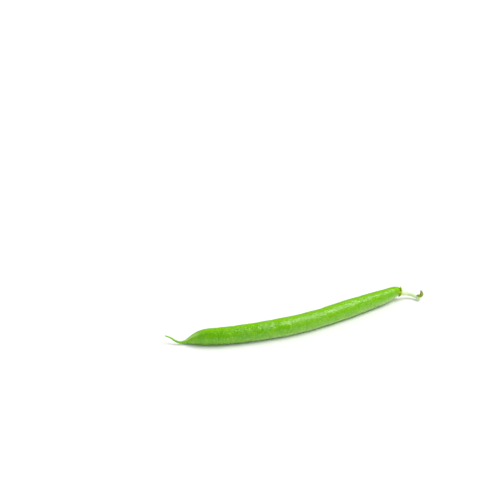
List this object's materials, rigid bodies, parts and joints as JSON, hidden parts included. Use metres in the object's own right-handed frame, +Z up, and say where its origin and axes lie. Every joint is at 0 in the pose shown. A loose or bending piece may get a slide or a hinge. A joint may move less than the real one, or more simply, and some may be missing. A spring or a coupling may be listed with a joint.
{
  "type": "green bean",
  "caption": "A whole green bean lying on its side: a long, gently bowed pod with a thin curled tail, a small dried calyx and a short pale stem with a brown heel.",
  "frame": {"origin": "on the surface that the bean lies on, under the middle of the whole bean's box", "axes": "+X from the tail to the stem, +Y towards the hollow side of the pod's bow, +Z up"},
  "size_m": [0.1392, 0.0206, 0.0093],
  "materials": {
    "pod_skin": "fresh waxy skin, satin, bright apple green with fine lighter and darker mottling",
    "dry_calyx": "thin dried leaf tissue, dull olive green going brown",
    "pale_stem": "pale green-white stalk, satin, with an olive and brown torn heel"
  },
  "bodies": {
    "root": {"pod": "pod_skin", "calyx": "dry_calyx", "stem": "pale_stem"}
  },
  "joints": []
}
